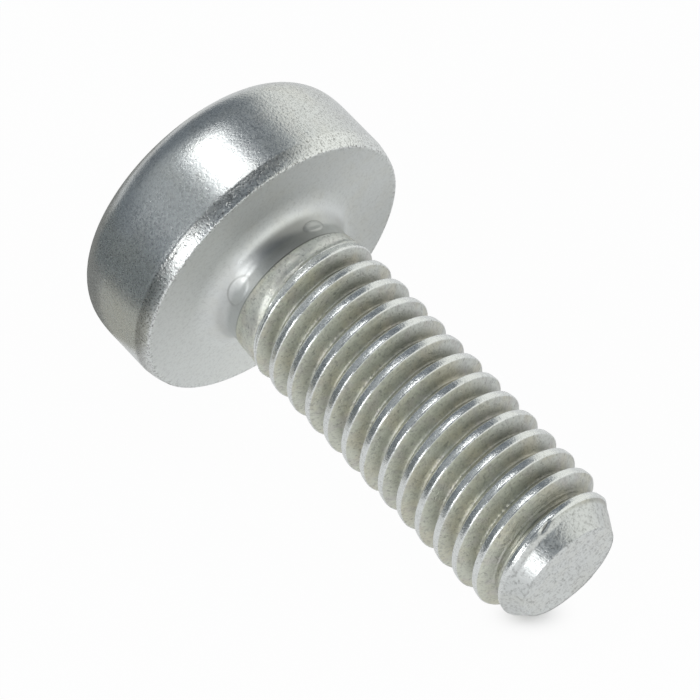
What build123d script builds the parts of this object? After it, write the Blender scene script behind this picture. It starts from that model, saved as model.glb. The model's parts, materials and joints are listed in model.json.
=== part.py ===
"""Pan head screw M6 x 16 with a hexagon socket, cold formed in one piece and lying at rest.

The screw is first modelled upright: its axis is Z, the bearing face under the head is at
Z = 0, the shank points to +Z and the head lies below. It is then laid down on Z = 0, where
the rim of its head and the crests near its tip carry it, with the shank along +X.
"""

import math
import os

from build123d import *

os.makedirs("parts", exist_ok=True)

# --- Driving dimensions, in millimetres and degrees --------------------------------------

# Head
head_diameter = 11.5
head_height = 4.4
crown_radius = 1.55  # rounds the wall into the flat top
bearing_diameter = 11.18  # outer edge of the bearing face
rim_height = 0.65  # the trimmed band between the bearing face and the wall

# Hexagon socket
socket_across_flats = 4.0
socket_depth = 2.4  # of the hexagon

# Rolled thread
thread_diameter = 5.8  # over the crests, as rolled
pitch = 1.0
flank_angle = 60.0  # between the two flanks of a groove, which meet at its root
crest_width = 0.22
first_crest = 1.98  # height of the first crest on the +X side
lead_in_length = 0.6  # over which that crest rises out of the ring

# Plain stretch under the head
fillet_radius = 0.58
fillet_pull = 0.35  # how far both ends of the fillet's curve reach towards its corner
neck_relief = 0.225  # how far the neck lies below the crests
neck_length = 1.25  # from the bearing face to the step where the thread dies began
ring_relief = 0.175  # the same for the ring of blank that the dies only grazed
ring_length = 0.95
run_out_angle = 45.0  # how steeply the ring falls into the first groove

# Tip
shank_length = 16.1  # from the bearing face, along the axis
fading_length = 0.75  # the crests lose height over this stretch before the chamfer
shoulder_relief = 0.23  # how much height they have lost where the chamfer begins
chamfer_length = 1.15
tip_relief = 0.85  # how far the end's edge lies below the crests
tip_skew = 4.5  # the sheared end is this much out of square, longest on the +Y side

# Rest
upper_side = 58.5  # the side that faces up, turned from +X towards +Y about the axis

# How far forms that would only touch overlap: joined ones, and a groove's cutter and the crests.
sink = 0.03
clearance = 0.1

# --- Values that follow from them --------------------------------------------------------

head_radius = head_diameter / 2
thread_radius = thread_diameter / 2
neck_radius = thread_radius - neck_relief
ring_radius = thread_radius - ring_relief
shoulder_radius = thread_radius - shoulder_relief
tip_radius = thread_radius - tip_relief

flank_slope = math.tan(math.radians(flank_angle / 2))  # half width that a groove gains per depth
thread_depth = (pitch - crest_width) / 2 / flank_slope
root_radius = thread_radius - thread_depth

raw_end = shank_length + pitch  # of the shank, before it is sheared off
shoulder_height = shank_length - chamfer_length
chamfer_slope = (shoulder_radius - tip_radius) / chamfer_length
crown_centre = (head_radius - crown_radius, crown_radius - head_height)


def turned(*corners: tuple[float, float]) -> Sketch:
    """A closed profile of (radius, height) corners, to revolve about the axis."""
    with BuildSketch(Plane.XZ) as profile:
        with BuildLine():
            Polyline(*corners, close=True)
        make_face()
    return profile.sketch


# --- What cuts half a turn of the thread's groove ----------------------------------------

with BuildPart() as groove:
    cutter_depth = thread_depth + clearance
    cutter_width = 2 * cutter_depth * flank_slope
    with BuildLine():
        half_turn = Helix(pitch, pitch / 2, root_radius)
    with BuildSketch(Plane(half_turn @ 0, x_dir=(1, 0, 0), z_dir=(0, -1, 0))):
        Polygon((0, 0), (cutter_depth, -cutter_width / 2), (cutter_depth, cutter_width / 2), align=None)
    sweep(path=half_turn, is_frenet=True)

# --- The whole screw, upright ------------------------------------------------------------

with BuildPart() as upright:
    # Shank as it is before rolling: from the ring a cone leads up to the full diameter, and
    # towards the tip a faint cone lets the crests fade before the chamfer.
    bare_radius = ring_radius - sink
    lead_in = first_crest - pitch / 2
    shank = turned(
        (0, fillet_radius),
        (bare_radius, fillet_radius),
        (bare_radius, lead_in),
        (thread_radius, lead_in + lead_in_length),
        (thread_radius, shoulder_height - fading_length),
        (shoulder_radius, shoulder_height),
        (shoulder_radius - (raw_end - shoulder_height) * chamfer_slope, raw_end),
        (0, raw_end),
    )
    revolve(shank, axis=Axis.Z)

    # Thread: the groove, half turn by half turn, from under the ring to past the tip.
    first_root = first_crest - 1.5 * pitch
    half_turns = math.ceil((raw_end - first_root) / pitch * 2)
    heights = [first_root + number * pitch / 2 for number in range(half_turns)]
    steps = [Location((0, 0, height), (0, 0, number * 180)) for number, height in enumerate(heights)]
    with Locations(*steps[1:]):
        add(groove.part, mode=Mode.SUBTRACT)
    split(bisect_by=Plane((0, 0, shank_length)).rotated((tip_skew, 0, 0)), keep=Keep.BOTTOM)

    # Head, fillet, neck and ring. The run-out leads from the ring into the groove.
    run_out_depth = ring_radius - root_radius + sink
    run_out_end = neck_length + ring_length + run_out_depth / math.tan(math.radians(run_out_angle))
    with BuildSketch(Plane.XZ):
        with BuildLine():
            Line((0, run_out_end), (0, -head_height))
            Line((0, -head_height), (crown_centre[0], -head_height))
            CenterArc(crown_centre, crown_radius, -90, 90)
            Polyline(
                (head_radius, crown_centre[1]),
                (head_radius, -rim_height),
                (bearing_diameter / 2, 0),
                (neck_radius + fillet_radius, 0),
            )
            Bezier(
                (neck_radius + fillet_radius, 0),
                (neck_radius + fillet_radius - fillet_pull, 0),
                (neck_radius, fillet_radius - fillet_pull),
                (neck_radius, fillet_radius),
            )
            Polyline(
                (neck_radius, fillet_radius),
                (neck_radius, neck_length),
                (ring_radius, neck_length),
                (ring_radius, neck_length + ring_length),
                (root_radius - sink, run_out_end),
                (0, run_out_end),
            )
        make_face()
    revolve(axis=Axis.Z)

    # Hexagon socket.
    with BuildSketch(Plane.XY.offset(-head_height)):
        RegularPolygon(socket_across_flats / 2, side_count=6, major_radius=False)
    extrude(amount=socket_depth, mode=Mode.SUBTRACT)

# --- The screw, lying --------------------------------------------------------------------

# The floor touches the head where the rim band ends, and the shank where the chamfer begins.
drop = math.atan2(head_radius - shoulder_radius, rim_height + shoulder_height)
roll = math.radians(upper_side)
shank_direction = Vector(math.cos(drop), 0, -math.sin(drop))
upward = Vector(math.sin(drop), 0, math.cos(drop))
sideways = shank_direction.cross(upward)
start_side = upward * math.cos(roll) - sideways * math.sin(roll)
tilted = Plane((0, 0, 0), x_dir=start_side, z_dir=shank_direction)
box = upright.part.moved(tilted.location).bounding_box()
resting = Plane((-box.center().X, -box.center().Y, -box.min.Z), start_side, shank_direction)

with BuildPart() as screw:
    with Locations(resting.location):
        add(upright.part)

screw.part.label = "screw"
export_step(screw.part, "parts/screw.step")
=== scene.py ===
"""Pan head machine screw with a hexagon socket, zinc plated, lying on a pale studio floor.

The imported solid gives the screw's place. One closed skin, from the floor of the socket to the
sheared end of the shank, stands for it and carries the rolled thread, the marks that forming
left and the plating.
"""

import json
import logging
import math
from dataclasses import dataclass, field
from enum import Enum
from typing import Any

import bpy
import numpy as np
from mathutils import Matrix, Vector


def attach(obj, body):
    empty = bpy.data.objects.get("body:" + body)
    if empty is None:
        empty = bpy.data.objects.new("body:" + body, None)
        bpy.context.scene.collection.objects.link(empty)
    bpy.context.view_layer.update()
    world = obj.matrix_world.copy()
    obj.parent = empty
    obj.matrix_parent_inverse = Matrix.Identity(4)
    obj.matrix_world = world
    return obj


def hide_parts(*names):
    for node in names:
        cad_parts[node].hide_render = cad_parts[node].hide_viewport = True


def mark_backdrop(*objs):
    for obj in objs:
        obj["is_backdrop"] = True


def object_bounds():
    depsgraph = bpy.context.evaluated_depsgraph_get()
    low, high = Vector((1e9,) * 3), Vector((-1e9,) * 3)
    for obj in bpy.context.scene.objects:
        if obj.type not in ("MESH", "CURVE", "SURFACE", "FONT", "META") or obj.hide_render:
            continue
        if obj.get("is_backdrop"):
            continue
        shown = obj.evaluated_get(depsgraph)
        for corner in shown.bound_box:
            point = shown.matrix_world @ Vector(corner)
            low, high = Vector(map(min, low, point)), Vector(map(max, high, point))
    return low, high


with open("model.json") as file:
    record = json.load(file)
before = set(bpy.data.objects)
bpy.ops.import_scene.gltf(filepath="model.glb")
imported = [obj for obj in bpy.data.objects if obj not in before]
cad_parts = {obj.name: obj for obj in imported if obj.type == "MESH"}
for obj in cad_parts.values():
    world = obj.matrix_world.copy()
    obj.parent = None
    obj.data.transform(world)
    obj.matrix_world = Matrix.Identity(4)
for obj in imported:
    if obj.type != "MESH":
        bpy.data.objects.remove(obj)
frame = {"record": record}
CAD_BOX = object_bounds()

LOG = logging.getLogger("screw")
MM = 0.001
ABOVE_FLOOR = 3e-5
Row = tuple[np.ndarray, np.ndarray]
Table = tuple[tuple[float, float], ...]
Place = tuple[float, float, float]


# --- Shape ---------------------------------------------------------------------------------


def smooth(low: float, high: float, value: np.ndarray) -> np.ndarray:
    """Soft step.

    Args:
        low: where the step starts from 0.
        high: where it has reached 1.
        value: the values to weigh.

    Returns:
        Weights from 0 to 1, of the same shape as value.
    """
    share = np.clip((value - low) / (high - low), 0, 1)
    return share * share * (3 - 2 * share)


def ripple(angles: np.ndarray, seed: int, waves: tuple[int, ...]) -> np.ndarray:
    """Seeded unevenness around the axis.

    Args:
        angles: degrees around the axis.
        seed: which unevenness.
        waves: whole numbers of waves per turn.

    Returns:
        A sum of waves between about -1 and 1.
    """
    chance = np.random.default_rng(seed)
    total = np.zeros_like(angles)
    for wave in waves:
        total += chance.uniform(0.5, 1) * np.cos(np.radians(angles * wave) + chance.uniform(0, 6.28))
    return total / len(waves)


def bell(value: np.ndarray, centre: float | np.ndarray, width: float) -> np.ndarray:
    """Bell that is 1 at centre and 0.37 at width from it."""
    return np.exp(-(((value - centre) / width) ** 2))


def read(table: Table, value: np.ndarray) -> np.ndarray:
    """Values from a table of pairs, with straight lines between them."""
    places, found = zip(*table)
    return np.interp(value, places, found)


@dataclass(frozen=True)
class Columns:
    """The columns of points around the axis. Sizes are in degrees."""

    count: int = 192
    seam: float = -75.0

    def angles(self) -> np.ndarray:
        """The angle of each column."""
        return self.seam + 360 * np.arange(self.count) / self.count

    def row(self, height: float | np.ndarray, radius: float | np.ndarray) -> Row:
        """One row of points.

        Args:
            height: along the axis, in mm, one value or one for each column.
            radius: from the axis, in mm, likewise.

        Returns:
            The heights and the radii, one for each column.
        """
        ones = np.ones(self.count)
        return ones * height, ones * radius


@dataclass(frozen=True)
class Head:
    """Pan head with its socket. Heights are negative, from the bearing face. Sizes are in mm."""

    diameter: float = 11.494
    height: float = 4.4
    crown_radius: float = 1.55
    crown_draw: float = 0.03
    draw_start: float = -2.5
    draw_end: float = -3.15
    wall_heights: tuple[float, ...] = (-2.75, -2.65, -2.58, -2.5, -2.4, -2.0, -1.5, -1.1, -0.85)
    bearing_diameter: float = 11.18
    bearing_radii: tuple[float, ...] = (5.5, 5.3, 4.9, 4.6, 4.4, 4.2, 4.0, 3.86)
    rim_height: float = 0.65
    rim_wave: float = 0.05
    rim_swell: float = 0.45
    chip_depth: float = 0.012
    edge_wear: float = 0.008
    edge_round: Table = ((-0.028, 0.0), (-0.014, 0.01), (-0.005, 0.027), (0, 0.06))
    socket_across_flats: float = 4.0
    socket_depth: float = 2.4
    socket_bevel: float = 0.1

    def hexagon(self, angles: np.ndarray) -> np.ndarray:
        """The socket's radius at each angle."""
        return self.socket_across_flats / 2 / np.cos(np.radians(angles % 60 - 30))

    def socket(self, columns: Columns) -> list[Row]:
        """Rows over the socket's floor and walls, to the rim of its opening.

        Args:
            columns: the columns around the axis.

        Returns:
            The rows, from the centre of the floor outwards.
        """
        hexagon = self.hexagon(columns.angles())
        floor = self.socket_depth - self.height
        rows = [columns.row(floor, hexagon * share) for share in (0.001, 0.3, 0.6, 0.85, 0.96, 0.985)]
        rows.append(columns.row(floor - 0.012, hexagon * 0.997))
        top = -self.height
        for height in (floor - 0.05, floor - 0.5, floor - 1.2, floor - 1.8):
            rows.append(columns.row(height, hexagon))
        rows.append(columns.row(top + 1.5 * self.socket_bevel, hexagon))
        for share in (0.9, 0.6, 0.3, 0.08):
            wider = hexagon + self.socket_bevel * (1 - share)
            rows.append(columns.row(top + self.socket_bevel * share, wider))
        rows.append(columns.row(top, hexagon + self.socket_bevel * 1.1))
        return rows

    def top(self, columns: Columns) -> list[Row]:
        """Rows over the flat top and its rounding into the wall.

        Args:
            columns: the columns around the axis.

        Returns:
            The rows, outwards and down to where the wall begins.
        """
        start = self.hexagon(columns.angles()) + self.socket_bevel * 1.3
        flat = self.diameter / 2 - self.crown_radius
        shares = (0, 0.25, 0.5, 0.75)
        rows = [columns.row(-self.height, start + (flat - start) * share) for share in shares]
        for angle in np.radians(np.linspace(0, 90, 17)):
            height = -self.height + self.crown_radius * (1 - math.cos(angle))
            out = flat + self.crown_radius * math.sin(angle)
            rows.append(columns.row(height, out - self.eased(height)))
        return rows

    def eased(self, height: float) -> float:
        """How much the wall draws in before the crown, at this height."""
        return self.crown_draw * float(smooth(self.draw_start, self.draw_end, np.array(height)))

    def wall(self, columns: Columns) -> list[Row]:
        """Rows down the wall and over the trimmed rim band.

        Args:
            columns: the columns around the axis.

        Returns:
            The rows, to the edge of the bearing face.
        """
        angles = columns.angles()
        outer = self.diameter / 2
        wave = ripple(angles, 3, (2, 3, 5, 9))
        rows = [columns.row(height, outer - self.eased(height)) for height in self.wall_heights]
        fall = outer - self.bearing_diameter / 2
        for share in (0, 0.1, 0.2, 0.32, 0.45, 0.58, 0.7, 0.8, 0.88, 0.94):
            height = -(self.rim_height + self.rim_wave * wave) * (1 - share)
            chips = ripple(angles, 11 + int(share * 40), (17, 29, 41, 53))
            chips = self.chip_depth * chips * math.sin(3.14 * share)
            lost = share * (1 - self.rim_swell) + share**2.5 * self.rim_swell
            rows.append(columns.row(height, outer - fall * lost - np.abs(chips)))
        return rows

    def bearing(self, columns: Columns) -> list[Row]:
        """Rows from the crisp edge over the bearing face.

        Args:
            columns: the columns around the axis.

        Returns:
            The rows, inwards to where the fillet begins.
        """
        worn = self.edge_wear * (1 + ripple(columns.angles(), 23, (13, 19, 31, 47)))
        edge = self.bearing_diameter / 2 - worn
        rows = [columns.row(height, edge - inward) for height, inward in self.edge_round]
        return rows + [columns.row(0, radius) for radius in self.bearing_radii]


@dataclass(frozen=True)
class Drop:
    """A drop of plating that dried on the neck. Sizes are in mm and degrees."""

    height: float
    angle: float
    length: float
    spread: float
    rise: float

    def lift(self, height: np.ndarray, angles: np.ndarray) -> np.ndarray:
        """How far the drop stands proud.

        Args:
            height: along the axis.
            angles: around the axis.

        Returns:
            The rise at each point.
        """
        along = (height - self.height) / (self.length / 2)
        around = ((angles - self.angle + 180) % 360 - 180) / (self.spread / 2)
        return self.rise * smooth(1.0, 0.7, np.sqrt(along**2 + around**2))


@dataclass(frozen=True)
class Neck:
    """Fillet, plain neck and the ring that the dies only grazed. Sizes are in mm."""

    radius: float = 2.675
    fillet: float = 0.85
    pull: float = 0.35
    feather: float = 0.22
    length: float = 1.25
    ring_radius: float = 2.71
    tallest_drop: float = 0.06
    plain_margin: float = 0.03
    step_rows: Table = ((-0.012, 0.0), (0.0, 0.45), (0.009, 0.8))
    drops: tuple[Drop, ...] = (
        Drop(0.8, 122, 0.66, 27, 0.014),
        Drop(0.78, 41, 0.42, 20, 0.03),
        Drop(0.36, 103, 0.1, 3, 0.02),
    )

    def rows(self, columns: Columns, last: float) -> list[Row]:
        """Rows from the fillet to the ring.

        Args:
            columns: the columns around the axis.
            last: the height of the last row.

        Returns:
            The rows, towards the tip.
        """
        angles = columns.angles()
        corner = self.radius + self.fillet + self.feather
        rows = []
        for share in np.linspace(0, 1, 26):
            rest = 1 - share
            weights = (rest**3, 3 * share * rest**2, 3 * share**2 * rest, share**3)
            out = np.dot(weights, (corner, corner - self.pull - self.feather, self.radius, self.radius))
            height = np.dot(weights, (0, 0, self.fillet - self.pull, self.fillet))
            rows.append((height, out))
        plain = np.linspace(self.fillet + self.plain_margin, self.length - self.plain_margin, 11)
        rows += [(height, self.radius) for height in plain]
        step = self.ring_radius - self.radius
        rows += [(self.length + past, self.radius + share * step) for past, share in self.step_rows]
        rows.append((last, self.ring_radius))
        found = []
        for height, out in rows:
            heights, radii = columns.row(height, out)
            for drop in self.drops:
                radii = radii + drop.lift(heights, angles)
            found.append((heights, np.minimum(radii, out + self.tallest_drop)))
        found[-1] = columns.row(last, self.ring_radius)
        return found


@dataclass(frozen=True)
class Notch:
    """A slanted notch in the chamfer, with a burr beside it. Sizes are in mm and degrees."""

    height: float = 15.34
    angle: float = 79.0
    slant: float = 0.012
    width: float = 0.045
    spread: float = 5.0
    depth: float = 0.09
    burr_angle: float = 10.0
    burr_width: float = 0.04
    burr_spread: float = 2.4
    burr_rise: float = 0.03

    def cut(self, surface: np.ndarray, height: np.ndarray, angles: np.ndarray) -> np.ndarray:
        """Cuts the notch and raises the burr.

        Args:
            surface: the radius before the cut.
            height: along the axis.
            angles: around the axis.

        Returns:
            The radius at each point.
        """
        around = angles - self.angle
        apart = height - self.height - self.slant * around
        notch = (apart / self.width) ** 2 + (around / self.spread) ** 2
        burr = (apart / self.burr_width) ** 2 + ((around - self.burr_angle) / self.burr_spread) ** 2
        return surface - self.depth * np.exp(-notch) + self.burr_rise * np.exp(-burr)


@dataclass(frozen=True)
class Winding:
    """Points of the shank, counted along the thread. Sizes are in mm and degrees.

    Args:
        height: along the axis.
        angles: around the axis.
        turn: the number of the nearest crest.
        off: the distance from that crest, along the axis.
        along: turns along the thread, from its first crest.
    """

    height: np.ndarray
    angles: np.ndarray
    turn: np.ndarray
    off: np.ndarray
    along: np.ndarray


@dataclass(frozen=True)
class Thread:
    """Rolled thread from the ring to the sheared end. Sizes are in mm and degrees.

    The fold and the seam are distances from the first crest for each angle, crests are radii for
    each turn, and lips and dip are rise, place and width beside the last crest.
    """

    pitch: float = 1.0
    first_crest: float = 1.98
    turns: int = 13
    crest_radius: float = 2.9
    crest_width: float = 0.26
    crest_lean: float = 0.16
    flank_slope: float = 1.85
    root_round: float = 0.06
    crest_round: float = 0.014
    waver: float = 0.004
    chip_depth: float = 0.009
    ring_radius: float = 2.71
    ring_rise: float = 0.07
    start_height: float = 1.27
    fold: Table = ((20, -0.3), (70, -0.22), (90, -0.17), (127, -0.02), (160, 0.12))
    fold_depth: float = 0.035
    fold_width: float = 0.028
    seam: Table = ((20, -0.45), (62, -0.37), (90, -0.38), (108, -0.25), (128, -0.12), (165, -0.1))
    seam_depth: float = 0.03
    seam_width: float = 0.035
    seam_slope: float = 0.85
    seam_reach: float = 0.3
    groove_begins: tuple[float, float] = (-0.05, 0.42)
    groove_ends: tuple[float, float] = (13.42, 13.12)
    shoulder_height: float = 14.95
    shoulder_radius: float = 2.67
    tip_radius: float = 2.05
    shank_length: float = 16.1
    skew: float = 2.3
    last_falls: Table = ((0.07, 0.86), (0.3, 0.5))
    flat_rise: float = 0.03
    flat_begins: tuple[float, float] = (15.0, 15.45)
    flat_ends: tuple[float, float] = (16.05, 15.5)
    lips: tuple[Place, ...] = ((0.13, -0.26, 0.06), (-0.05, -0.15, 0.03))
    dip: Place = (0.03, 0.31, 0.035)
    end_wear: float = 0.012
    end_round: Table = ((0.008, 0.025), (0.025, 0.01), (0.05, 0.003), (0.1, 0.0))
    notch: Notch = field(default_factory=Notch)
    crests: Table = (
        *((-0.3, 2.75), (0.0, 2.85), (0.6, 2.88), (1.0, 2.9), (11.9, 2.9), (12.5, 2.82)),
        *((12.66, 2.76), (13.0, 2.67), (13.25, 2.6), (13.5, 2.5), (13.8, 2.27)),
    )
    samples: tuple[float, ...] = (0.06, 0.1, 0.12, 0.131, 0.143, 0.165, 0.21, 0.28, 0.35, 0.41, 0.455)

    def spread(self) -> np.ndarray:
        """Where the rows of one turn lie, as shares of the pitch from its crest."""
        side = np.array(self.samples)
        return np.concatenate(([-0.5], -side[::-1], [0.0], side))

    def start(self, columns: Columns) -> float:
        """Height of the ring on which the thread's rows begin."""
        return self.first_crest + (columns.seam / 360 - 0.5) * self.pitch

    def end(self, columns: Columns) -> float:
        """Height of the ring on which they end."""
        return self.start(columns) + (self.turns + 1) * self.pitch

    def chamfer(self, height: np.ndarray, angles: np.ndarray) -> np.ndarray:
        """Radius of the chamfer's cone.

        Args:
            height: along the axis.
            angles: around the axis.

        Returns:
            The radius, with the blank's flat spot where the last groove runs out.
        """
        slope = (self.shoulder_radius - self.tip_radius) / (self.shank_length - self.shoulder_height)
        cone = self.shoulder_radius - slope * (height - self.shoulder_height)
        side = smooth(84, 45, angles) * smooth(-40, 20, angles)
        flat = self.flat_rise * side * smooth(*self.flat_begins, height)
        return cone + flat * smooth(*self.flat_ends, height)

    def wind(self, height: np.ndarray, angles: np.ndarray) -> Winding:
        """Counts points along the thread.

        Args:
            height: along the axis.
            angles: around the axis, from the seam on.

        Returns:
            The points by their nearest crest.
        """
        place = (height - self.first_crest) / self.pitch - angles / 360
        turn = np.round(place)
        return Winding(height, angles, turn, (place - turn) * self.pitch, turn + angles / 360)

    def crest(self, at: Winding) -> np.ndarray:
        """Radius over the crests, which lean, waver and are chipped at their edges.

        Args:
            at: the points.

        Returns:
            The radius at each point.
        """
        half = self.crest_width / 2
        crest = read(self.crests, at.along)
        crest = crest + self.waver * np.sin(at.along * 9.1) * np.sin(at.along * 23.7)
        crest = crest + self.crest_lean * (np.clip(at.off, -half, half) - half)
        chips = np.modf(np.sin(at.along * 7919.7 + at.off * 1047.3) * 43758.5453)[0]
        return crest - self.chip_depth * np.abs(chips) * bell(np.abs(at.off), half, 0.03)

    def groove(self, at: Winding) -> np.ndarray:
        """Depth of the groove below the crests.

        Args:
            at: the points.

        Returns:
            The depth at each point.
        """
        side = 0.5 * self.pitch - np.sqrt((0.5 * self.pitch - np.abs(at.off)) ** 2 + self.root_round**2)
        past = side - self.crest_width / 2
        loss = self.flank_slope * 0.5 * (past + np.sqrt(past**2 + self.crest_round**2))
        turns = at.along + np.where(at.off > 0, 0.5, -0.5)
        return smooth(*self.groove_begins, turns) * smooth(*self.groove_ends, turns) * loss

    def begin(self, surface: np.ndarray, at: Winding) -> np.ndarray:
        """Joins the first crest to the ring, with the fold and the seam between them.

        Args:
            surface: the radius over crests and grooves.
            at: the points.

        Returns:
            The radius at each point.
        """
        fold = read(self.fold, at.angles)
        folded = smooth(10, 45, at.angles) * smooth(178, 160, at.angles)
        past_seam = at.off + np.minimum(at.turn, 0) * self.pitch - read(self.seam, at.angles)
        ring = self.ring_radius + self.ring_rise * (at.height - self.start_height)
        fall = np.clip(past_seam + self.seam_reach, 0, self.seam_reach) ** 2
        ring = ring - self.seam_slope * folded * fall
        ring = ring - self.seam_depth * folded * bell(past_seam, 0.0, self.seam_width)
        first = np.abs(at.turn) < 0.5
        reach = np.where(folded > 0, fold, 0.0)
        surface = np.where(first & (at.off < reach), np.minimum(surface, ring), surface)
        surface = surface - first * folded * self.fold_depth * bell(at.off, fold, self.fold_width)
        return np.where(at.turn < -0.5, ring, surface)

    def finish(self, surface: np.ndarray, crest: np.ndarray, at: Winding) -> np.ndarray:
        """Runs the last crest out into the chamfer, with its lip, its dip and the notch.

        Args:
            surface: the radius over ring, crests and grooves.
            crest: the radius over the crests.
            at: the points.

        Returns:
            The radius at each point.
        """
        cone = self.chamfer(at.height, at.angles)
        last = (at.turn > self.turns - 0.5) & (at.off > 0)
        ramp = crest
        for start, slope in self.last_falls:
            ramp = ramp - slope * np.maximum(at.off - start, 0)
        depth, place, width = self.dip
        dip = depth * smooth(78, 90, at.angles) * bell(at.off, place, width)
        surface = np.where(last, np.maximum(ramp, cone) - dip, surface)
        lip = smooth(78, 100, at.angles) * smooth(165, 140, at.angles)
        lip = lip * (np.abs(at.turn - self.turns) < 0.5)
        for rise, place, width in self.lips:
            surface = surface + lip * rise * bell(at.off, place, width)
        surface = np.where(last, self.notch.cut(surface, at.height, at.angles), surface)
        return np.where(at.turn > self.turns + 0.5, self.notch.cut(cone, at.height, at.angles), surface)

    def radius(self, height: np.ndarray, angles: np.ndarray) -> np.ndarray:
        """The thread's surface.

        Args:
            height: along the axis.
            angles: around the axis, from the seam on.

        Returns:
            The radius at each point.
        """
        at = self.wind(height, angles)
        crest = self.crest(at)
        return self.finish(self.begin(crest - self.groove(at), at), crest, at)

    def rows(self, columns: Columns) -> list[Row]:
        """Rows that climb with the thread, so that one always lies on the crest.

        Args:
            columns: the columns around the axis.

        Returns:
            The rows after the first ring, up to the ring on which they end.
        """
        angles = columns.angles()
        climb = (angles - columns.seam) / 360
        start = self.start(columns)
        shares = np.append(self.spread()[1:], 0.5) + 0.5
        heights = [start + climb * share * self.pitch for share in shares]
        for turn in range(self.turns):
            heights += [start + (climb + turn + share) * self.pitch for share in shares]
        heights += [start + (climb + self.turns + (1 - climb) * share) * self.pitch for share in shares]
        return [(height, self.radius(height, angles)) for height in heights]

    def tip(self, columns: Columns) -> list[Row]:
        """Rows over the chamfer, the end's edge and its sheared face.

        Args:
            columns: the columns around the axis.

        Returns:
            The rows, to the centre of the face.
        """
        angles = columns.angles()
        start = self.end(columns)
        lean = math.tan(math.radians(self.skew)) * np.sin(np.radians(angles))
        end = self.shank_length + self.tip_radius * lean
        rows = []
        for share in np.append(np.linspace(0.04, 0.95, 24), (0.975, 0.99)):
            height = start + (end - start) * share
            rows.append((height, self.radius(height, angles)))
        edge = self.chamfer(end, angles) - self.end_wear * (1 + ripple(angles, 31, (5, 9, 15, 27)))
        for inward, below in self.end_round:
            rows.append((self.shank_length + (edge - inward) * lean - below, edge - inward))
        for share in (0.9, 0.8, 0.65, 0.5, 0.35, 0.2, 0.1, 0.001):
            rows.append((self.shank_length + edge * share * lean, edge * share))
        return rows


@dataclass
class Skin:
    """Joins rows of points into one closed mesh.

    Args:
        columns: the columns around the axis.
        plain: rows before the thread, whose last one is the ring on which its rows begin.
        climbing: the thread's rows after that ring. Each column's end joins the next turn.
        tip: rows after the thread.
        step: how many rows a turn has.
    """

    columns: Columns
    plain: list[Row]
    climbing: list[Row]
    tip: list[Row]
    step: int

    def points(self) -> np.ndarray:
        """Places the points.

        Returns:
            All points, row by row, in metres about the screw's axis.
        """
        rows = self.plain + self.climbing + self.tip
        height = np.array([row[0] for row in rows])
        radius = np.array([row[1] for row in rows])
        turned = np.radians(self.columns.angles())[None, :]
        places = np.stack((radius * np.cos(turned), radius * np.sin(turned), height), axis=-1)
        return places.reshape(-1, 3) * MM

    def numbers(self) -> tuple[np.ndarray, np.ndarray]:
        """The points' numbers.

        Returns:
            The number of each row's point in each column, and of its neighbour past the last one.
        """
        first, last = len(self.plain) - 1, len(self.plain) - 1 + len(self.climbing)
        total = last + 1 + len(self.tip)
        numbers = np.arange(total * self.columns.count).reshape(total, -1)
        numbers[first : first + self.step + 1, 0] = numbers[first, 0]
        rows = np.arange(total)
        climbing = (rows >= first) & (rows <= last)
        rows = np.where(climbing, np.minimum(rows + self.step, last), rows)
        numbers[0, :] = numbers[0, 0]
        numbers[-1, :] = numbers[-1, 0]
        return numbers, numbers[rows, 0]

    def mesh(self, name: str) -> bpy.types.Mesh:
        """The closed mesh.

        Args:
            name: the mesh's name.

        Returns:
            A smooth mesh whose normals point outwards.
        """
        numbers, beyond = self.numbers()
        across = np.concatenate((numbers, beyond[:, None]), axis=1)
        corners = np.stack((across[:-1, :-1], across[:-1, 1:], across[1:, 1:], across[1:, :-1]), axis=-1)
        faces = []
        for face in corners.reshape(-1, 4).tolist():
            kept = [number for place, number in enumerate(face) if number != face[place - 1]]
            if len(set(kept)) > 2:
                faces.append(kept)
        used = np.unique(np.concatenate([np.array(face) for face in faces]))
        renumbered = np.zeros(len(numbers.reshape(-1)) + 1, int)
        renumbered[used] = np.arange(len(used))
        mesh = bpy.data.meshes.new(name)
        mesh.from_pydata(self.points()[used].tolist(), [], [renumbered[face].tolist() for face in faces])
        mesh.validate()
        mesh.shade_smooth()
        return mesh


# --- Finish --------------------------------------------------------------------------------


class Link:
    """A shader socket on which Python's operators add Math nodes."""

    def __init__(self, graph: "Graph", socket: bpy.types.NodeSocket | None) -> None:
        """Wraps an output socket of the graph."""
        self.graph = graph
        self.socket = socket

    def math(self, operation: str, *others: "Link | float") -> "Link":
        """A Math node whose first input is this socket."""
        return self.graph.math(operation, self, *others)

    def __add__(self, other: "Link | float") -> "Link":
        """Sum."""
        return self.math("ADD", other)

    __radd__ = __add__

    def __sub__(self, other: "Link | float") -> "Link":
        """Difference."""
        return self.math("SUBTRACT", other)

    def __rsub__(self, other: float) -> "Link":
        """Difference from a number."""
        return self.graph.math("SUBTRACT", other, self)

    def __mul__(self, other: "Link | float") -> "Link":
        """Product."""
        return self.math("MULTIPLY", other)

    __rmul__ = __mul__

    def __truediv__(self, other: "Link | float") -> "Link":
        """Quotient."""
        return self.math("DIVIDE", other)

    def __rtruediv__(self, other: float) -> "Link":
        """Quotient of a number."""
        return self.graph.math("DIVIDE", other, self)

    def step(self, low: float, high: float) -> "Link":
        """Soft step, which falls where high is below low.

        Args:
            low: where the result is 0.
            high: where the result is 1.

        Returns:
            The weight, between 0 and 1.
        """
        rises = low < high
        inputs = {0: self, 1: min(low, high), 2: max(low, high), 3: float(not rises), 4: float(rises)}
        return self.graph.node("ShaderNodeMapRange", {"interpolation_type": "SMOOTHSTEP"}, inputs)

    def near(self, centre: "Link | float", width: float) -> "Link":
        """Soft band that is 1 at centre and 0 at width from it."""
        return (self - centre).math("ABSOLUTE").step(width, 0.0)


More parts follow.
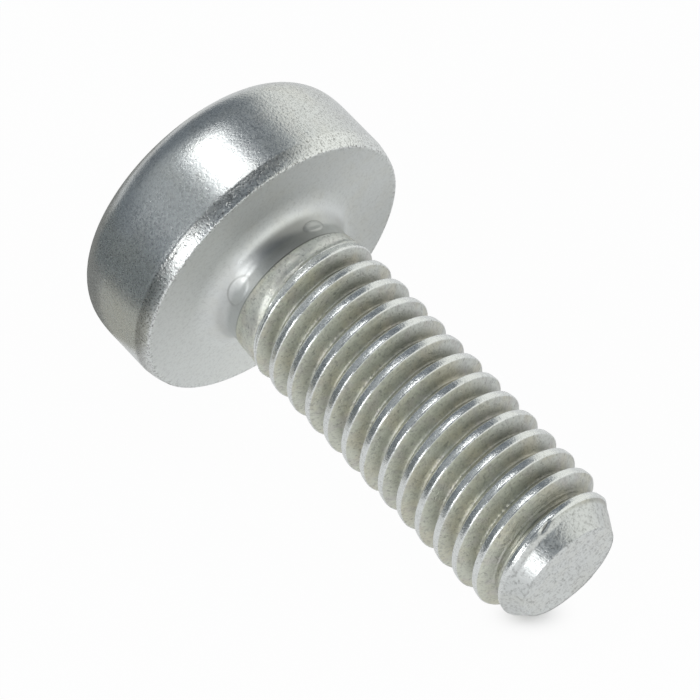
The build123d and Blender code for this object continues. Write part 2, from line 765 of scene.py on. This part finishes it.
class Ray(Enum):
    """Kinds of ray that can see a surface."""

    CAMERA = "Is Camera Ray"
    GLOSS = "Is Glossy Ray"
    GLASS = "Is Transmission Ray"


class Graph:
    """Nodes of one material or world."""

    def __init__(self, holder: bpy.types.Material | bpy.types.World) -> None:
        """Empties the tree.

        Args:
            holder: what the nodes are for.
        """
        holder.use_nodes = True
        self.tree = holder.node_tree
        self.tree.nodes.clear()
        world = isinstance(holder, bpy.types.World)
        self.output = "ShaderNodeOutputWorld" if world else "ShaderNodeOutputMaterial"

    def node(
        self,
        kind: str,
        settings: dict[str, Any] | None = None,
        inputs: dict[Any, Any] | None = None,
        output: Any = 0,
    ) -> Link:
        """Adds a node.

        Args:
            kind: its type.
            settings: its properties, set first.
            inputs: values or links of its sockets.
            output: which output to return.

        Returns:
            The chosen output.
        """
        made = self.tree.nodes.new(kind)
        for name, value in (settings or {}).items():
            setattr(made, name, value)
        for name, value in (inputs or {}).items():
            if isinstance(value, Link):
                self.tree.links.new(value.socket, made.inputs[name])
            else:
                made.inputs[name].default_value = value
        return Link(self, made.outputs[output] if len(made.outputs) else None)

    def math(self, operation: str, *inputs: Link | float) -> Link:
        """A Math node."""
        return self.node("ShaderNodeMath", {"operation": operation}, dict(enumerate(inputs)))

    def vector(self, operation: str, first: Link, second: Any, output: Any = 0) -> Link:
        """A Vector Math node over a link and a plain vector."""
        inputs = {0: first, 1: tuple(second)}
        return self.node("ShaderNodeVectorMath", {"operation": operation}, inputs, output)

    def reach(self, vector: Link, axis: Any) -> Link:
        """How far a vector reaches along an axis."""
        return self.vector("DOT_PRODUCT", vector, axis, "Value")

    def ray(self, kind: Ray) -> Link:
        """1 where this kind of ray sees the surface, otherwise 0."""
        return self.node("ShaderNodeLightPath", None, None, kind.value)

    def apart(self, point: Any) -> Link:
        """The vector from a fixed point to the shaded one."""
        return self.vector("SUBTRACT", self.node("ShaderNodeTexCoord", None, None, "Object"), point)

    def noise(self, where: Link, scale: float, detail: float = 2.0, roughness: float = 0.55) -> Link:
        """Noise between 0 and 1 over a vector."""
        inputs = {"Vector": where, "Scale": scale, "Detail": detail, "Roughness": roughness}
        return self.node("ShaderNodeTexNoise", {"noise_dimensions": "3D"}, inputs)

    def blend(self, share: Link | float, low: Any, high: Any) -> Link:
        """Mixes two colours.

        Args:
            share: how much of the second one shows.
            low: the first colour.
            high: the second colour.

        Returns:
            The mixed colour.
        """
        settings = {"data_type": "RGBA", "clamp_factor": True}
        return self.node("ShaderNodeMix", settings, {0: share, 6: low, 7: high}, 2)

    def surface(self, shader: Link) -> None:
        """Ends the tree in its output."""
        self.node(self.output, None, {"Surface": shader})


@dataclass(frozen=True)
class Colour:
    """A plain colour, as linear shares of red, green and blue."""

    red: float
    green: float
    blue: float

    def full(self) -> tuple[float, float, float, float]:
        """With full alpha."""
        return (self.red, self.green, self.blue, 1.0)


@dataclass(frozen=True)
class Spot:
    """Where the shaded point lies on the screw, in mm.

    Args:
        toward: from the axis to the side where the thread starts.
        across: from the axis, a quarter turn further.
        height: from the bearing face towards the tip.
        out: from the axis.
        turned: turns from the thread's start.
        where: the first three as one vector.
    """

    toward: Link
    across: Link
    height: Link
    out: Link
    turned: Link
    where: Link

    @classmethod
    def on(cls, graph: Graph, placement: "Placement") -> "Spot":
        """Finds the spot.

        Args:
            graph: the material's nodes.
            placement: where the screw lies.

        Returns:
            The spot, as links.
        """
        offset = graph.apart(placement.origin)
        axes = (placement.start_side, placement.across(), placement.along)
        toward, across, height = (graph.reach(offset, axis / MM) for axis in axes)
        out = (toward * toward + across * across).math("SQRT")
        turned = across.math("ARCTAN2", toward) / (2 * math.pi)
        where = graph.node("ShaderNodeCombineXYZ", None, {0: toward, 1: across, 2: height})
        return cls(toward, across, height, out, turned, where)


@dataclass(frozen=True)
class Zones:
    """Areas of the screw, as masks between 0 and 1.

    Args:
        crest: the flat crests of the thread.
        end: chamfer and sheared face.
        flank: flanks and roots of the thread, with the ring.
        deep: their lower part, where shade is painted.
        band: the trimmed rim of the head.
        under: bearing face and fillet.
        wall: the outside of the head.
        upper: the side of the wall that faces the thread's start.
        edge: the edge between rim and bearing face.
        ring: the ring before the thread.
        neck: the plain neck.
        shaded: the side of the shank that faces the thread's start, where painted shade is darker.
    """

    crest: Link
    end: Link
    flank: Link
    deep: Link
    band: Link
    under: Link
    wall: Link
    upper: Link
    edge: Link
    ring: Link
    neck: Link
    shaded: Link

    @classmethod
    def on(cls, spot: Spot, head: Head, thread: Thread) -> "Zones":
        """Marks out the zones, with borders in mm.

        Args:
            spot: where the shaded point lies.
            head: the screw's head.
            thread: its thread.

        Returns:
            The zones.
        """
        height, out = spot.height, spot.out
        climb = ((height - thread.first_crest) / thread.pitch - spot.turned).math("WRAP", 0.5, -0.5)
        off = climb.math("ABSOLUTE")
        half = thread.crest_width / 2
        rim = -head.rim_height
        crest = off.step(half + 0.035, half + 0.005) * height.step(1.85, 2.0) * height.step(15.55, 15.4)
        end = height.step(15.2, 15.4) * (1 - crest)
        flank = (height.step(1.2, 1.3) - crest - end).math("MAXIMUM", 0.0)
        wall = out.step(4.2, 5.0) * height.step(-0.5, -0.7)
        return cls(
            crest=crest,
            end=end,
            flank=flank,
            deep=out.step(thread.crest_radius - 0.15, 2.33) * flank,
            band=height.step(rim - 0.02, rim + 0.1) * height.step(0.0, -0.01) * out.step(5.4, 5.5),
            under=height.step(-0.02, -0.004) * out.step(5.6, 5.5) * height.step(0.32, 0.02),
            wall=wall,
            upper=wall * spot.toward.step(3.2, 4.6),
            edge=height.step(-0.06, -0.01) * out.step(5.38, 5.52),
            ring=height.step(1.22, 1.3) * off.step(0.1, 0.3) * height.step(2.3, 1.9),
            neck=height.step(0.15, 0.5) * height.step(1.32, 1.24) * out.step(3.1, 2.8),
            shaded=spot.toward.step(0.3, 1.8),
        )

    def weigh(self, base: Link | float, **shares: float) -> Link:
        """Adds weighted zones.

        Args:
            base: what every place has.
            shares: how much each named zone adds.

        Returns:
            The sum.
        """
        for zone, share in shares.items():
            base = base + getattr(self, zone) * share
        return base


@dataclass(frozen=True)
class Grain:
    """Unevenness of the plating, from noise through the screw.

    Args:
        fine: the finest noise.
        coarse: noise twice as coarse.
        broad: slow changes along the screw.
        specks: small dark pits.
        patches: tarnished areas.
        streaks: drawn out noise.
        mottle: light and dark, around 0.
    """

    fine: Link
    coarse: Link
    broad: Link
    specks: Link
    patches: Link
    streaks: Link
    mottle: Link

    @classmethod
    def on(cls, graph: Graph, spot: Spot, zones: Zones) -> "Grain":
        """Makes the noises.

        Args:
            graph: the material's nodes.
            spot: where the shaded point lies.
            zones: the screw's zones.

        Returns:
            The grain.
        """
        fine = graph.noise(spot.where, 13.0, 2.0, 0.6)
        coarse = graph.noise(spot.where, 6.0, 3.0, 0.65)
        broad = graph.noise(spot.where, 0.8, 3.0, 0.6)
        specks = graph.noise(spot.where, 7.5, 1.0).step(0.62, 0.74)
        patches = graph.noise(spot.where, 1.7, 2.0).step(0.5, 0.66)
        streaks = graph.noise(graph.vector("MULTIPLY", spot.where, (11.0, 3.5, 9.0)), 1.0, 2.0, 0.6)
        finer = zones.weigh(0.0, wall=0.5, band=0.8)
        mottle = (fine - 0.5) * (0.6 + finer) + (coarse - 0.5) * (0.8 - finer)
        mottle = mottle + (streaks - 0.5) * zones.end * 0.7
        return cls(fine, coarse, broad, specks, patches, streaks, mottle)


Layer = tuple[Link, Colour]


@dataclass(frozen=True)
class ZincPlate:
    """Satin zinc plating over cold formed steel. Lengths are in mm.

    Part of its colour is painted light and shade, which stays in any light: painted shade in the
    thread's roots, on the neck, in the notch, at the ring's step and on the drops' rims, and painted
    light, shade and reflection that differ by side on the bearing face, the rim band and the flanks.
    """

    bright: Colour = Colour(0.735, 0.755, 0.75)
    dull: Colour = Colour(0.7, 0.715, 0.62)
    # Colour of the painted shade in the thread's roots.
    deep: Colour = Colour(0.36, 0.365, 0.32)
    pale: Colour = Colour(0.85, 0.87, 0.86)
    stain: Colour = Colour(0.68, 0.655, 0.54)
    tarnish: Colour = Colour(0.6, 0.57, 0.57)
    dark: Colour = Colour(0.2, 0.2, 0.19)
    roughness: float = 0.28
    relief_height: float = 0.04

    def material(self, screw: "Screw", placement: "Placement") -> bpy.types.Material:
        """The finish of the whole screw.

        Args:
            screw: the screw, for the places of its features.
            placement: where the screw lies.

        Returns:
            The material.
        """
        made = bpy.data.materials.new("zinc_plate")
        graph = Graph(made)
        spot = Spot.on(graph, placement)
        zones = Zones.on(spot, screw.head, screw.thread)
        grain = Grain.on(graph, spot, zones)
        tint = self.bright.full()
        for share, colour in self.plating(spot, zones, grain) + self.marks(spot, zones, grain, screw):
            tint = graph.blend(share, tint, colour.full())
        rough = self.roughness + grain.mottle * zones.weigh(0.1, wall=0.12, crest=0.2)
        rough = zones.weigh(rough, flank=0.2, ring=-0.03, under=0.34, end=0.06, crest=-0.03, neck=0.14)
        relief = self.relief(zones, grain)
        raised = {"Strength": 1.0, "Distance": self.relief_height * MM, "Height": relief}
        bump = graph.node("ShaderNodeBump", None, raised)
        inputs = {"Base Color": tint, "Metallic": 1.0, "Roughness": rough, "Normal": bump}
        graph.surface(graph.node("ShaderNodeBsdfPrincipled", None, inputs))
        return made

    def plating(self, spot: Spot, zones: Zones, grain: Grain) -> list[Layer]:
        """Layers of colour that lie over whole zones, among them painted light, shade and reflection.

        Args:
            spot: where the shaded point lies.
            zones: the screw's zones.
            grain: the plating's unevenness.

        Returns:
            The layers, the lowest first.
        """
        toward = spot.toward
        # Paler plating on the ring, the edge, the crests and, a little, the bearing face, all round.
        # Painted light on the rim band's side that faces the thread's start and on the bearing face's
        # opposite side.
        paler_and_painted_light = zones.weigh(0.0, ring=0.3, edge=0.4, crest=0.5)
        paler_and_painted_light = paler_and_painted_light + zones.band * toward.step(2.8, 4.0) * 0.8
        paler_and_painted_light = paler_and_painted_light + zones.under * (0.1 + toward.step(3.0, -4.0) * 0.7)
        contrast = zones.weigh(
            0.5, wall=0.6, upper=1.2, edge=1.6, under=0.3, flank=1.1, end=1.5, crest=0.5, band=1.9
        )
        return [
            # Painted reflection: the flanks are less olive, and so bluer, on the side that faces the
            # thread's start.
            (zones.flank * (0.85 - toward.step(0.8, 2.4) * 0.6), self.dull),
            # Painted shade in the thread's roots, darker on the shaded side.
            (zones.deep * (0.4 + zones.shaded * 0.6), self.deep),
            (grain.patches * zones.weigh(0.0, flank=0.4, wall=0.12), self.tarnish),
            (grain.broad.step(0.42, 0.68) * zones.weigh(0.15, flank=0.5), self.stain),
            (paler_and_painted_light, self.pale),
            (((0.03 - grain.mottle) * contrast).math("MAXIMUM", 0.0), self.dark),
            (self.painted_shade(spot, zones), self.dark),
        ]

    def painted_shade(self, spot: Spot, zones: Zones) -> Link:
        """Painted shade on the neck, the bearing face, the rim band and the flanks, and a darker
        chamfer.

        Args:
            spot: where the shaded point lies.
            zones: the screw's zones.

        Returns:
            The share of the dark colour.
        """
        toward, across = spot.toward, spot.across
        # Painted shade over the whole neck, darker on part of its side that faces the thread's start.
        neck = zones.neck * toward.step(-1.0, 0.7) * toward.step(2.7, 1.6) * 0.5 + zones.neck * 0.24
        # Painted shade on the bearing face, darker on some sides than on others.
        side = across.step(-2.5, 5.5) * 0.24 + toward.step(0.0, 4.5) * across.step(1.0, -4.0) * 0.2
        # The chamfer a little darker all round.
        end = zones.end * spot.out.step(1.95, 2.1) * 0.1
        # Painted shade on the rim band's half next to the wall, over part of the turn.
        band = zones.band * spot.height.step(-0.05, -0.5) * spot.turned.step(0.11, 0.17) * 0.5
        # Painted shade on the flanks' shaded side.
        return neck + zones.under * side + end + band + zones.flank * zones.shaded * 0.12

    def marks(self, spot: Spot, zones: Zones, grain: Grain, screw: "Screw") -> list[Layer]:
        """Layers of colour on marks: dried drops, specks, and painted shade on drop rims, ring step and
        notch.

        Args:
            spot: where the shaded point lies.
            zones: the screw's zones.
            grain: the plating's unevenness.
            screw: the screw, for the places of its marks.

        Returns:
            The layers, the lowest first.
        """
        layers = []
        for drop in screw.neck.drops:
            around = (spot.turned - drop.angle / 360).math("WRAP", 0.5, -0.5) * (720 / drop.spread)
            along = (spot.height - drop.height) * (2 / drop.length)
            reach = (around * around + along * along).math("SQRT")
            # Each dried drop is a little paler inside and has a dark rim, darker towards the head as
            # painted shade.
            layers.append((reach.step(1.0, 0.85) * 0.12, self.pale))
            layers.append((reach.near(1.0, 0.14) * (0.25 - along * 0.22), self.dark))
        # Painted shade: a dark line in the crease at the ring's step.
        layers.append((spot.height.near(screw.neck.length - 0.02, 0.035) * 0.4, self.dark))
        notch = screw.thread.notch
        around = spot.turned * 360 - notch.angle
        apart = ((spot.height - notch.height - around * notch.slant) * 16.0).math("ABSOLUTE")
        # Painted shade in the notch.
        layers.append(((apart + around.math("ABSOLUTE") / 7.0).step(1.1, 0.6) * 0.8, self.dark))
        pitting = zones.weigh(0.05, flank=0.35, end=0.12, band=0.2, crest=0.25)
        layers.append((grain.specks * pitting, self.dark))
        return layers

    @staticmethod
    def relief(zones: Zones, grain: Grain) -> Link:
        """Height of the finest relief.

        Args:
            zones: the screw's zones.
            grain: the plating's unevenness.

        Returns:
            The height, in shares of the relief's full height.
        """
        strength = zones.weigh(
            0.14, wall=0.1, upper=0.45, edge=0.4, band=0.4, end=0.34, flank=0.5, crest=0.22
        )
        texture = grain.fine * 0.5 + grain.coarse * 0.5
        texture = texture - grain.specks * zones.weigh(0.03, end=0.15, band=0.3, flank=0.1)
        texture = texture + grain.streaks * zones.weigh(0.0, end=0.25, wall=0.4, upper=0.4)
        return texture * strength


@dataclass(frozen=True)
class FloorPaint:
    """Matt light grey that the camera sees nearly all white, and the metal half white.

    The white hides most of the shadow that the object casts. One small soft spot below the tip is a
    painted shadow: there the white covers less of the grey, so the floor is darker there in any
    light, and shows a little of the real shadow too. The spot's place is in metres, and its two axes
    are in softnesses for each metre.
    """

    colour: Colour = Colour(0.93, 0.93, 0.93)
    camera_share: float = 0.97
    gloss_share: float = 0.5
    # Centre, strength and softness of the painted shadow below the tip.
    painted_shadow: Place = (0.0091, -0.00064, 0.0)
    painted_shadow_share: float = 0.8
    painted_shadow_axes: tuple[Place, ...] = ((1190, 1361, 0), (1962, -1645, 0))

    def material(self) -> bpy.types.Material:
        """The floor's material.

        Returns:
            The material.
        """
        made = bpy.data.materials.new("floor_paint")
        graph = Graph(made)
        paint = graph.node("ShaderNodeBsdfDiffuse", None, {"Color": self.colour.full()})
        white = graph.node("ShaderNodeEmission", None, {"Color": (1, 1, 1, 1), "Strength": 1.0})
        camera, gloss, glass = (graph.ray(kind) for kind in Ray)
        offset = graph.apart(self.painted_shadow)
        along, across = (graph.reach(offset, axis) for axis in self.painted_shadow_axes)
        # The painted shadow: a soft spot below the tip where the camera sees less white.
        shown = ((along * along + across * across) * -0.5).math("EXPONENT") * self.painted_shadow_share
        share = camera * (self.camera_share - shown) + (gloss + glass) * self.gloss_share
        graph.surface(graph.node("ShaderNodeMixShader", None, {0: share, 1: paint, 2: white}))
        return made


# --- The screw and its studio --------------------------------------------------------------


@dataclass(frozen=True)
class Placement:
    """Where the screw lies: the centre of its bearing face, its axis and the side that faces up."""

    origin: Vector
    along: Vector
    start_side: Vector

    @classmethod
    def from_record(cls, record: dict[str, Any], head_height: float, upper_side: float) -> "Placement":
        """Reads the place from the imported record.

        Args:
            record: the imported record.
            head_height: in mm.
            upper_side: how far the upper side is turned from the start of the thread, in degrees.

        Returns:
            The placement, in metres.
        """
        socket = next(mount for mount in record["mounts"] if mount["name"] == "hex_socket")
        along = -Vector(socket["axis"]).normalized()
        origin = Vector(socket["pos_m"]) + along * head_height * MM
        upward = (Vector((0, 0, 1)) - along * along.z).normalized()
        roll = math.radians(upper_side)
        side = upward * math.cos(roll) - along.cross(upward) * math.sin(roll)
        return cls(origin, along, side.normalized())

    def across(self) -> Vector:
        """The side a quarter turn after the start of the thread."""
        return self.along.cross(self.start_side)

    def matrix(self) -> Matrix:
        """From the screw's own axes to the row frame."""
        turned = Matrix((self.start_side, self.across(), self.along)).transposed().to_4x4()
        return Matrix.Translation(self.origin) @ turned


@dataclass(frozen=True)
class Screw:
    """The whole screw."""

    head: Head = field(default_factory=Head)
    neck: Neck = field(default_factory=Neck)
    thread: Thread = field(default_factory=Thread)
    columns: Columns = field(default_factory=Columns)
    finish: ZincPlate = field(default_factory=ZincPlate)
    upper_side: float = 58.5

    def build(self, record: dict[str, Any]) -> bpy.types.Object:
        """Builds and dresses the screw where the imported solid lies.

        Args:
            record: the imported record.

        Returns:
            The piece.
        """
        plain = self.head.socket(self.columns) + self.head.top(self.columns)
        plain += self.head.wall(self.columns) + self.head.bearing(self.columns)
        plain += self.neck.rows(self.columns, self.thread.start(self.columns))
        climbing = self.thread.rows(self.columns)
        tip = self.thread.tip(self.columns)
        skin = Skin(self.columns, plain, climbing, tip, len(self.thread.spread()))
        piece = bpy.data.objects.new("screw_skin", skin.mesh("screw_skin"))
        bpy.context.scene.collection.objects.link(piece)
        placement = Placement.from_record(record, self.head.height, self.upper_side)
        piece.data.transform(placement.matrix())
        piece.data.materials.append(self.finish.material(self, placement))
        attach(piece, "root")
        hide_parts("screw")
        return piece


@dataclass(frozen=True)
class Softbox:
    """A rectangular lamp that faces the screw. Sizes are in metres."""

    name: str
    toward: Place
    width: float
    height: float
    glow: float
    distance: float = 0.3
    side: Place = (0, 1, 0)

    def build(self, centre: Vector) -> bpy.types.Object:
        """Hangs the lamp.

        Args:
            centre: what it faces.

        Returns:
            The lamp.
        """
        lamp = bpy.data.lights.new(self.name, "AREA")
        lamp.shape = "RECTANGLE"
        lamp.size, lamp.size_y = self.width, self.height
        lamp.energy = self.glow * math.pi * self.width * self.height
        holder = bpy.data.objects.new(self.name, lamp)
        away = Vector(self.toward).normalized()
        across = Vector(self.side)
        across = (across - away * across.dot(away)).normalized()
        turned = Matrix((across, away.cross(across), away)).transposed().to_4x4()
        holder.matrix_world = Matrix.Translation(centre + away * self.distance) @ turned
        bpy.context.scene.collection.objects.link(holder)
        return holder


@dataclass(frozen=True)
class Card:
    """A matt grey card that only the metal sees. Its corners are in metres from below the head."""

    name: str
    corners: tuple[Place, ...]
    colour: Colour

    @classmethod
    def lying(cls, name: str, outline: Table, colour: Colour) -> "Card":
        """A card that lies just above the floor."""
        return cls(name, tuple((*corner, ABOVE_FLOOR) for corner in outline), colour)

    def build(self, foot: Vector) -> bpy.types.Object:
        """Sets the card up.

        Args:
            foot: the point of the floor below the centre of the bearing face.

        Returns:
            Nothing, as mark_backdrop returns nothing.
        """
        mesh = bpy.data.meshes.new(self.name)
        corners = [foot + Vector(corner) for corner in self.corners]
        mesh.from_pydata(corners, [], [tuple(range(len(corners)))])
        card = bpy.data.objects.new(self.name, mesh)
        bpy.context.scene.collection.objects.link(card)
        paint = bpy.data.materials.new(self.name)
        graph = Graph(paint)
        graph.surface(graph.node("ShaderNodeBsdfDiffuse", None, {"Color": self.colour.full()}))
        mesh.materials.append(paint)
        card.visible_camera = card.visible_shadow = card.visible_diffuse = False
        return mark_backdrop(card)


@dataclass(frozen=True)
class Studio:
    """Floor, cards, lamps, sky and camera.

    Sizes are in metres, and the aim is in mm from the centre of the bearing face.
    """

    floor_size: float = 1.6
    sky: Colour = Colour(0.175, 0.197, 0.22)
    ceiling: Colour = Colour(0.38, 0.405, 0.42)
    overhead: Place = (-0.38, -0.5, 0.78)
    daylight: Colour = Colour(0.96, 0.97, 0.93)
    window: Place = (0.4, 0.76, -0.5)
    lens: float = 323.9
    sensor: float = 36
    distance: float = 0.220576
    aim_along: float = 4.356
    aim_side: float = -0.070
    toward: Place = (0.5637, -0.4736, 0.6765)
    cards: tuple[Card, ...] = (
        Card(
            "standing_card",
            (
                (-0.0189, -0.0094, 0),
                (0.0037, -0.0224, 0),
                (0.0037, -0.0224, 0.0095),
                (-0.0189, -0.0094, 0.0095),
            ),
            Colour(0.27, 0.29, 0.305),
        ),
        Card.lying(
            "lying_card",
            (
                *((-0.045, -0.0143), (-0.0105, -0.0143), (-0.0045, -0.002)),
                *((-0.0045, 0.009), (-0.045, 0.009)),
            ),
            Colour(0.42, 0.41, 0.39),
        ),
        Card.lying(
            "middle_card",
            ((-0.0105, -0.0143), (-0.002, -0.0192), (-0.0005, -0.0166), (-0.009, -0.0117)),
            Colour(0.5, 0.49, 0.46),
        ),
        Card.lying(
            "warm_card",
            ((-0.009, -0.0117), (-0.0005, -0.0166), (-0.002, -0.008), (-0.0055, -0.004)),
            Colour(0.78, 0.75, 0.67),
        ),
    )
    lamps: tuple[Softbox, ...] = (
        Softbox("top_light", (-0.25, -0.085, 0.969), 0.135, 0.075, 3.2),
        Softbox("front_light", (0.6, -0.76, 0.22), 0.1, 0.11, 4.4),
        Softbox("right_light", (0.88, -0.47, 0.04), 0.09, 0.05, 1.7),
        Softbox("left_light", (0.091, -0.912, 0.399), 0.1, 0.1, 6.0),
    )

    def build(self, placement: Placement) -> None:
        """Builds the studio around the screw.

        Args:
            placement: where the screw lies.
        """
        self.floor()
        for card in self.cards:
            card.build(Vector((placement.origin.x, placement.origin.y, 0)))
        for lamp in self.lamps:
            lamp.build(placement.origin)
        self.air()
        self.camera(placement)

    def floor(self) -> bpy.types.Object:
        """Lays the floor on which the screw rests.

        Returns:
            Nothing, as mark_backdrop returns nothing.
        """
        half = self.floor_size / 2
        corners = [(-half, -half, 0), (half, -half, 0), (half, half, 0), (-half, half, 0)]
        mesh = bpy.data.meshes.new("floor")
        mesh.from_pydata(corners, [], [(0, 1, 2, 3)])
        floor = bpy.data.objects.new("floor", mesh)
        bpy.context.scene.collection.objects.link(floor)
        mesh.materials.append(FloorPaint().material())
        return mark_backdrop(floor)

    def air(self) -> None:
        """Fills the room with a low grey, a paler ceiling and soft daylight from the window."""
        world = bpy.data.worlds.new("room")
        bpy.context.scene.world = world
        graph = Graph(world)
        toward = graph.node("ShaderNodeTexCoord", None, None, "Generated")
        above = graph.reach(toward, Vector(self.overhead).normalized())
        beside = graph.reach(toward, Vector(self.window).normalized())
        colour = graph.blend(above.step(0.8, 1.0), self.sky.full(), self.ceiling.full())
        colour = graph.blend(beside.step(-0.03, 0.1), colour, self.daylight.full())
        graph.surface(graph.node("ShaderNodeBackground", None, {"Color": colour, "Strength": 1.0}))

    def camera(self, placement: Placement) -> bpy.types.Object:
        """Places the camera.

        Args:
            placement: where the screw lies.

        Returns:
            The camera, which is the scene's.
        """
        eye = bpy.data.cameras.new("camera")
        eye.lens, eye.sensor_width = self.lens, self.sensor
        eye.clip_start, eye.clip_end = 0.005, 10
        offset = placement.along * self.aim_along + placement.start_side * self.aim_side
        away = Vector(self.toward).normalized()
        place = placement.origin + offset * MM + away * self.distance
        turned = away.to_track_quat("Z", "Y").to_matrix().to_4x4()
        holder = bpy.data.objects.new("camera", eye)
        holder.matrix_world = Matrix.Translation(place) @ turned
        bpy.context.scene.collection.objects.link(holder)
        bpy.context.scene.camera = holder
        return holder


def main() -> None:
    """Builds the screw and its studio, and works out both boxes."""
    logging.basicConfig(level=logging.INFO, format="%(name)s: %(message)s")
    bpy.context.scene.view_settings.view_transform = "Standard"
    screw = Screw()
    piece = screw.build(frame["record"])
    LOG.info("%s has %d faces", piece.name, len(piece.data.polygons))
    Studio().build(Placement.from_record(frame["record"], screw.head.height, screw.upper_side))
    LOG.info("studio is lit")
    boxes = {"cad": CAD_BOX, "visual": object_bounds()}
    boxes = {name: [list(corner) for corner in box] for name, box in boxes.items()}


if __name__ == "__main__":
    main()
